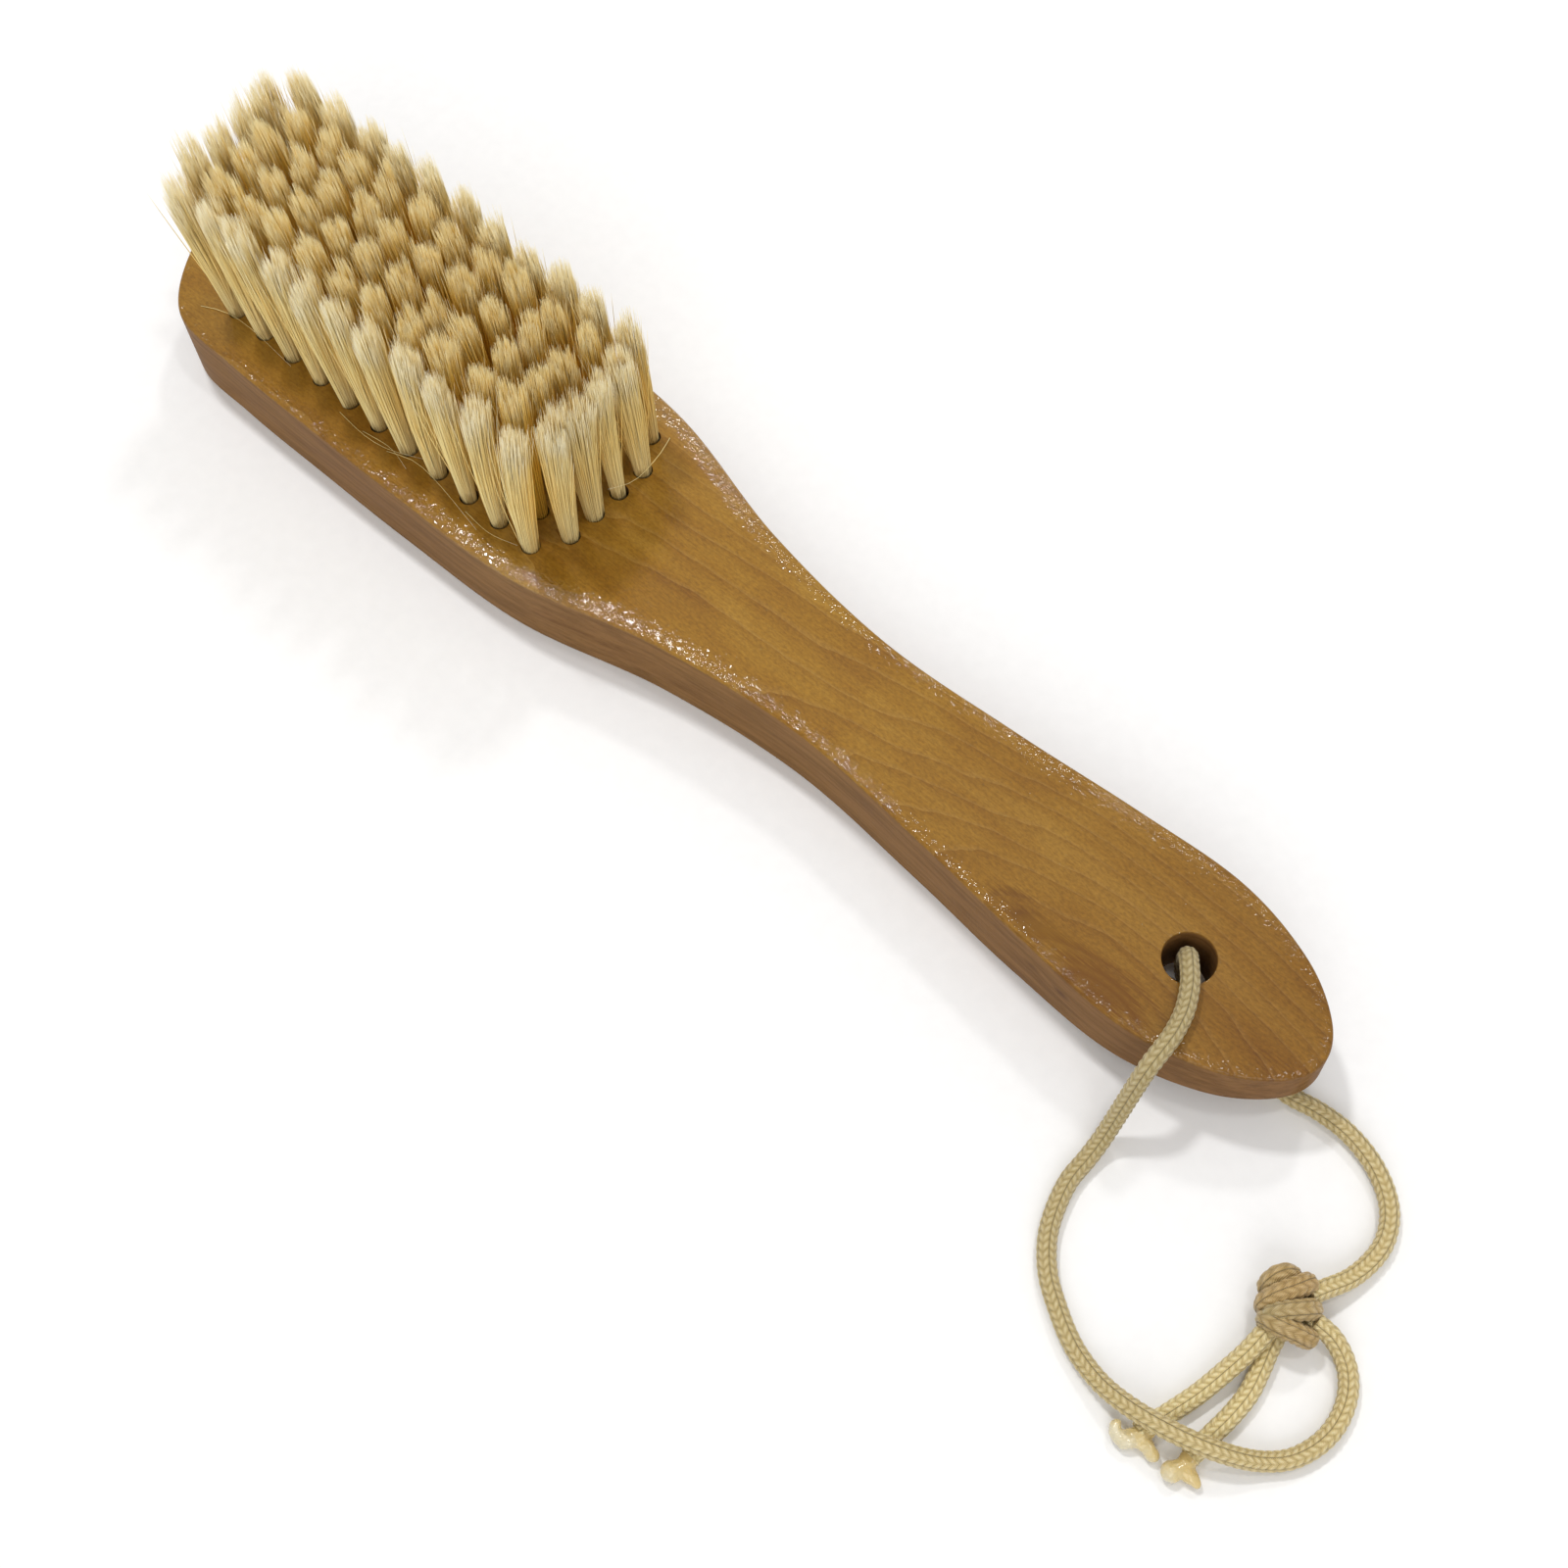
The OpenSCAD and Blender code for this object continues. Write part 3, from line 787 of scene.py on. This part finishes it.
BRISTLES_PER_TUFT = 320
SPLIT_ENDS_PER_TUFT = 110
CLUMPS_PER_TUFT = 9
BRISTLE_R = 0.085 * MM
BUNDLE_R = 1.3 * MM
BUNDLE_SHIFT = -0.14 * MM   # the bundle sits against the head side of its hole
BUNDLE_FLARE = 0.72         # how much wider a tuft is at its tip than at the wood
HEIGHT_KNOTS = np.array([-0.3, -0.02, 0.1, 0.3, 0.52, 0.72, 0.88, 1.0])
TAPER = np.array([1.0, 1.0, 1.0, 1.0, 0.96, 0.85, 0.6, 0.18])
SPLIT_KNOTS = np.linspace(0.74, 1.0, 4)
SPLIT_TAPER = np.array([0.3, 0.6, 0.55, 0.2])
GOLDEN_TURN = 2.39996       # spaces the hairs evenly over the bundle
CLUMP_GATHER = 0.3          # how far the hairs' ends draw together in their clump
CLUMP_VARIES = 0.042        # how much the clumps of a tuft differ in height, as a share
SHORT_VARIES = 0.075        # and how much shorter single hairs are
NEAR_END_LEAN = 0.075       # the near rows' tufts at the handle's end stand more upright
NEAR_END_BEND = 2.1 * MM
DEEP_REACH = 3.6 * MM       # hairs this far inside the block are painted amber: a painted glow of light shining through the bristles


class Tuft:
    """Where the hairs of one tuft run; its shape is drawn at random once."""

    def __init__(self, x, y):
        self.x, self.y = x, y
        self.tall = BRISTLE_HEIGHT * (1.02 + RANDOM.normal(0, 0.016))
        self.squeeze = 1 + RANDOM.normal(0, 0.08, 2)
        self.bend = RANDOM.normal(0, 0.4 * MM, 2)
        across = (x - BLOCK_MIDDLE) / BLOCK_HALF
        near_end = max(across, 0)**1.5 * max(-y / OUTER_ROW, 0)
        self.lean = math.tan(math.radians(TUFT_LEAN + TUFT_FAN * across))
        self.lean += NEAR_END_LEAN * near_end
        self.bend[1] += NEAR_END_BEND * near_end
        outer = max(-y / OUTER_ROW, abs(across)**4)
        self.flare = BUNDLE_FLARE * (1 + 0.4 * max(outer, 0)**3) * RANDOM.uniform(0.88, 1.12)
        turn = RANDOM.uniform(0, 2 * np.pi, CLUMPS_PER_TUFT)
        reach = np.sqrt(RANDOM.random(CLUMPS_PER_TUFT)) * 0.95
        self.clumps = np.stack((np.cos(turn), np.sin(turn)), axis=1) * reach[:, None]
        self.clump_tall = RANDOM.normal(0, CLUMP_VARIES, CLUMPS_PER_TUFT)

    def lines(self, n, knots, spread, wild_share):
        """Hairs by knots by 3, and how deep in the block each hair stands, from 0 to 1."""
        share = np.sqrt((np.arange(n) + 0.5) / n)
        turn = np.arange(n) * GOLDEN_TURN + RANDOM.uniform(0, 6.28)
        outward = np.stack((np.cos(turn), np.sin(turn)), axis=1)
        place = outward * share[:, None]
        base = place * BUNDLE_R + RANDOM.normal(0, 0.05 * MM, (n, 2))
        apart = np.linalg.norm(place[:, None, :] - self.clumps[None, :, :], axis=2)
        clump = np.argmin(apart + RANDOM.normal(0, 0.12, apart.shape), axis=1)
        short = np.abs(RANDOM.normal(0, SHORT_VARIES, n))
        tall = self.tall * (1.05 - 0.05 * share**2 + self.clump_tall[clump] - short)
        wander = RANDOM.normal(0, spread, (n, 2)) * (0.6 + 0.6 * share[:, None])
        wild = RANDOM.random(n) < wild_share
        wander[wild] += RANDOM.normal(0, 1.5 * MM, (int(wild.sum()), 2))
        above = np.clip(knots, 0, 1)
        width = 1 + self.flare * above**0.9
        gather = CLUMP_GATHER * np.clip((above - 0.5) / 0.5, 0, 1)**1.4
        flat = base[:, None, :] * width[None, :, None]
        centre = self.clumps[clump] * BUNDLE_R
        flat += (centre[:, None, :] * width[None, :, None] - flat) * gather[None, :, None]
        lines = np.zeros((n, len(knots), 3))
        lines[:, :, :2] = flat * self.squeeze
        stray = above[None, :] ** np.where(wild, 1, 2)[:, None]
        lines[:, :, :2] += wander[:, None, :] * stray[:, :, None]
        lines[:, :, :2] += self.bend * (above**2)[None, :, None]
        below = THICKNESS + np.where(knots < 0, knots / 0.3 * (TUFT_HOLE_DEPTH - 0.3 * MM), 0)
        lines[:, :, 2] = below[None, :] + tall[:, None] * above[None, :]
        lines[:, :, 0] += self.x + BUNDLE_SHIFT + self.lean * above[None, :] * tall[:, None]
        lines[:, :, 1] += self.y
        from_end = BLOCK_HALF + BUNDLE_R - np.abs(base[:, 0] + self.x - BLOCK_MIDDLE)
        from_side = OUTER_ROW + BUNDLE_R - np.abs(base[:, 1] + self.y)
        deep = np.clip(np.minimum(from_end, from_side) / DEEP_REACH, 0, 1)
        return lines, deep


def add_bristles(material):
    for row in range(1, ROWS + 1):
        tufts = [Tuft(x, y) for x, y in tuft_places(row)]
        sets = []
        for per_tuft, knots, taper, spread, wild_share in (
            (BRISTLES_PER_TUFT, HEIGHT_KNOTS, TAPER, 0.24 * MM, 0.05),
            (SPLIT_ENDS_PER_TUFT, SPLIT_KNOTS, SPLIT_TAPER, 0.34 * MM, 0),
        ):
            made = [tuft.lines(per_tuft, knots, spread, wild_share) for tuft in tufts]
            lines = np.concatenate([lines for lines, _ in made])
            thick = BRISTLE_R * RANDOM.uniform(0.75, 1.15, len(lines))
            looks = {
                "along": np.tile(np.clip(knots, 0, 1), (len(lines), 1)),
                "tone": RANDOM.random(len(lines)),
                "deep": np.concatenate([deep for _, deep in made]),
            }
            sets.append(hairs(lines, thick[:, None] * taper[None, :], looks, (0, 1, 0)))
        piece = hair_object(f"tuft_row_{row}_bristles", sets, material)
        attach(piece, "root")
        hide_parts(f"tuft_row_{row}")


# ---------------------------------------------------------------- cord

STITCH = 1.2 * MM
STITCH_DEPTH = 0.2 * MM
LEG_SLANT = 0.62    # how far a leg climbs across half a wale, in stitches
WALES = 5
AROUND = 60
ALONG_STEP = 0.14 * MM


def knitted_tube(line, dirt_and_shade, radius=CORD_R):
    """A tube of V stitches: each wale is two slanting legs side by side."""
    _, side, up = carried_sides(line)
    count = len(line)
    reach = np.concatenate(([0], np.cumsum(np.linalg.norm(np.diff(line, axis=0), axis=1))))
    turn = 2 * np.pi * np.arange(AROUND) / AROUND
    wale = (turn / (2 * np.pi) * WALES) % 1
    leg = np.abs(2 * wale - 1)                       # 0 in the middle of a wale, 1 between wales
    phase = (reach[:, None] / STITCH + LEG_SLANT * leg[None, :]) % 1
    plump = 0.25 + 0.75 * np.sin(np.pi * np.clip(leg, 0.03, 0.97))**0.6
    raised = np.sin(np.pi * phase)**0.75 * plump[None, :]
    swell = np.broadcast_to(radius, count)[:, None] - STITCH_DEPTH * (1 - raised)
    spread = np.cos(turn)[None, :, None] * side[:, None, :]
    spread = spread + np.sin(turn)[None, :, None] * up[:, None, :]
    rings = line[:, None, :] + swell[:, :, None] * spread
    index = np.arange(count * AROUND).reshape(count, AROUND)
    low, high = index[:-1], index[1:]
    walls = np.stack((low, np.roll(low, -1, 1), np.roll(high, -1, 1), high), axis=-1)
    faces = walls.reshape(-1, 4).tolist()
    faces += [index[0, ::-1].tolist(), index[-1].tolist()]
    lane = np.tile(wale, (count, 1)) + reach[:, None] / STITCH * 0.5
    return {
        "vertices": rings.reshape(-1, 3), "faces": faces,
        "raised": raised.reshape(-1), "lane": lane.reshape(-1),
        "dirt_and_shade": np.repeat(np.broadcast_to(dirt_and_shade, count), AROUND),
    }


def tube_object(name, tubes, material):
    vertices, faces, first = [], [], 0
    for tube in tubes:
        vertices.append(tube["vertices"])
        faces += [[v + first for v in face] for face in tube["faces"]]
        first += len(tube["vertices"])
    attributes = {
        key: np.concatenate([tube[key] for tube in tubes]) for key in ("raised", "lane", "dirt_and_shade")
    }
    vertices = np.vstack(vertices).tolist()
    return mesh_object(name, vertices, faces, material, smooth_angle=60, attributes=attributes)


def knot_point(u, v, w):
    """A point in the knot's own frame, in millimetres: u along the knot, v along the strands."""
    turn = math.radians(KNOT_ANGLE)
    x = KNOT_MIDDLE[0] + u * math.cos(turn) - v * math.sin(turn)
    y = KNOT_MIDDLE[1] + u * math.sin(turn) + v * math.cos(turn)
    return (x, y, KNOT_MIDDLE[2] + w)


def knot_lines():
    """The two strands' ways through the knot: entry, bight, turns round the middle, and tail."""
    first = [
        (1.8, 3.5, -0.1), (1.2, 1, -1), (0.3, -1.8, -0.9), (-0.4, -3.2, 0.5), (-1.2, -1.9, 2.4),
        (-2.1, 0.6, 2.6), (-3.1, 2.7, 1.2), (-3, 2.7, -1.2), (-1.4, 1.9, -2.2), (0, 3.1, -1),
        (0.4, 3, 1.1), (0.9, 1.4, 2.8), (1.1, -0.8, 2.9), (1.3, -2.5, 1.9), (1.5, -2.6, 0.3),
        (1.94, -2.02, -0.3),
    ]
    second = [
        (-1.64, 2.96, 0.1), (-2.2, 0.5, -0.5), (-2.6, -2, -0.4), (-3.1, -2.5, 0.9), (-4.1, -1.1, 1.8),
        (-4.4, 0.5, 0.8), (-3.8, 1.2, -1), (-1.6, 0.5, -2.2), (1.4, 0.9, -2.2), (3.4, 2.4, -1.3),
        (4.2, 2, 0.6), (3.8, 0.2, 2.2), (2.9, -1.9, 2.4), (1.8, -3.1, 1.2), (1.7, -2.8, -0.9),
        (2.9, -1.26, -1.9),
    ]
    return [[knot_point(*point) for point in strand] for strand in (first, second)]


def route_line(points, step=ALONG_STEP):
    return smooth_line(np.array(points) * MM, step)


def add_cords(material, fused):
    upper_line = route_line(UPPER_ROUTE)
    lower_line = route_line(LOWER_ROUTE)
    # the strands are painted darker where they come out of the hole: painted shade
    upper_dirt_and_shade = np.linspace(0.62, 0.2, len(upper_line))
    lower_dirt_and_shade = np.linspace(0.55, 0.2, len(lower_line))
    upper = tube_object("cord_upper", [knitted_tube(upper_line, upper_dirt_and_shade)], material)
    lower = tube_object("cord_lower", [knitted_tube(lower_line, lower_dirt_and_shade)], material)
    knot_tubes = []
    for points in knot_lines():
        line = route_line(points)
        inside = np.sin(np.pi * np.linspace(0, 1, len(line)))
        radius = CORD_R * (0.97 + 0.14 * inside**0.7)
        knot_tubes.append(knitted_tube(line, 0.2 + 0.8 * inside**0.4, radius))
    knot = tube_object("cord_overhand_knot", knot_tubes, material)
    tails = []
    for side_name, points in (("left", LEFT_TAIL_ROUTE), ("right", RIGHT_TAIL_ROUTE)):
        line = route_line(points)
        # the tails are painted brighter towards their ends: painted glow
        fade = np.linspace(0.2, 0, len(line))
        tube = knitted_tube(line, fade)
        tails.append(tube_object(f"cord_tail_{side_name}_braid", [tube], material))
    left, right = tails
    left_end = add_fused_end("cord_end_left_melted", LEFT_FUSED_BALLS, fused)
    right_end = add_fused_end("cord_end_right_melted", RIGHT_FUSED_BALLS, fused)
    for piece, node in (
        (upper, "cord_upper_strand"), (lower, "cord_lower_strand"), (knot, "cord_knot"),
        (left, "cord_tail_left"), (right, "cord_tail_right"),
        (left_end, "fused_end_left"), (right_end, "fused_end_right"),
    ):
        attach(piece, "root")
        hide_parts(node)


BALLS_PER_LINK = 6
BALL_RINGS = 9
BALL_SIDES = 16
MELT_VOXEL = 0.16 * MM


def add_fused_end(name, chains, material):
    """A cord end melted into a lump: balls of changing size run along each chain, then fuse."""
    balls = []
    for chain in chains:
        for start, end in zip(chain, chain[1:]):
            start, end = np.array(start) * MM, np.array(end) * MM
            for share in np.linspace(0, 1, BALLS_PER_LINK):
                ball = start + (end - start) * share
                balls.append((ball[:3], ball[3]))
    vertices, faces = [], []
    for centre, radius in balls:
        start = len(vertices)
        for i in range(BALL_RINGS + 1):
            polar = math.pi * i / BALL_RINGS
            for k in range(BALL_SIDES):
                turn = 2 * math.pi * k / BALL_SIDES
                vertices.append((
                    centre[0] + radius * math.sin(polar) * math.cos(turn),
                    centre[1] + radius * math.sin(polar) * math.sin(turn),
                    max(centre[2] + radius * math.cos(polar) * 0.9, 0.02 * MM),
                ))
        for i in range(BALL_RINGS):
            first = start + i * BALL_SIDES
            for k in range(BALL_SIDES):
                a, b = first + k, first + (k + 1) % BALL_SIDES
                faces.append((a, a + BALL_SIDES, b + BALL_SIDES, b))
    piece = mesh_object(name, vertices, faces, material)
    remesh = piece.modifiers.new("skin", "REMESH")
    remesh.mode = "VOXEL"
    remesh.voxel_size = MELT_VOXEL
    smooth = piece.modifiers.new("melt", "SMOOTH")
    smooth.factor = 0.6
    smooth.iterations = 5
    apply_modifiers(piece)
    for vertex in piece.data.vertices:
        pull = noise.noise(vertex.co / MM * 0.9) * 0.22 + noise.noise(vertex.co / MM * 2) * 0.04
        vertex.co += vertex.normal * pull * MM
        vertex.co.z = max(vertex.co.z, 0)
    piece.data.polygons.foreach_set("use_smooth", [True] * len(piece.data.polygons))
    return piece


# ---------------------------------------------------------------- loose bristles on the wood

LOOSE_HAIRS = [
    [(-103.6, -17.2, 15.1), (-99.2, -15.4, 15.4), (-92.8, -15, 15.8), (-82.4, -15.6, 15.3)],
    [(-69.6, -16.4, 15.1), (-63.2, -17, 15.5), (-57.9, -16.4, 15.7), (-52, -14, 15.9)],
    [(-63.9, -16.5, 15.2), (-57.7, -15.9, 15.6), (-53.1, -16.9, 15.2)],
    [(-58, -16.6, 15.2), (-52, -15.6, 17), (-45, -16.4, 18), (-36, -17.5, 15.4)],
    [(-25, 15.6, 15.2), (-23.2, 11, 16.6), (-22.4, 5, 17.4), (-23, 0, 20)],
    [(-40, -16.2, 15.2), (-34, -16.6, 15.4), (-29, -15.2, 15.3)],
]


LOOSE_HAIR_KNOTS = 9
LOOSE_HAIR_R = 0.07 * MM


def add_loose_hairs(material):
    knots = LOOSE_HAIR_KNOTS
    lines = []
    for points in LOOSE_HAIRS:
        line = route_line(points, 0.1 * MM)
        pick = np.linspace(0, len(line) - 1, knots).astype(int)
        lines.append(line[pick])
    lines = np.array(lines)
    radii = np.tile(LOOSE_HAIR_R * np.linspace(1, 0.35, knots), (len(lines), 1))
    looks = {
        "along": np.tile(np.linspace(0.3, 1, knots), (len(lines), 1)),
        "tone": np.full(len(lines), 0.8),
        "deep": np.zeros(len(lines)),
    }
    hair_set = hairs(lines, radii, looks, (0, 0, 1))
    piece = hair_object("loose_bristles", [hair_set], material)
    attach(piece, "root")


# ---------------------------------------------------------------- the scene

def add_floor():
    turns = ((-1, -1), (1, -1), (1, 1), (-1, 1))
    corners = [(FLOOR_HALF * x, FLOOR_HALF * y, 0) for x, y in turns]
    floor = mesh_object("floor", corners, [(0, 1, 2, 3)], floor_material())
    floor.location.z = -FLOOR_DROP


def dress_anchors():
    material = wire_material()
    for row in range(1, ROWS + 1):
        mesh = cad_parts[f"anchor_row_{row}"].data
        mesh.materials.clear()
        mesh.materials.append(material)


add_camera()
add_cords(cord_material(), fused_material())
add_wood(wood_material())
bristles = bristle_material()
add_bristles(bristles)
add_loose_hairs(bristles)
dress_anchors()
add_floor()
add_lights()
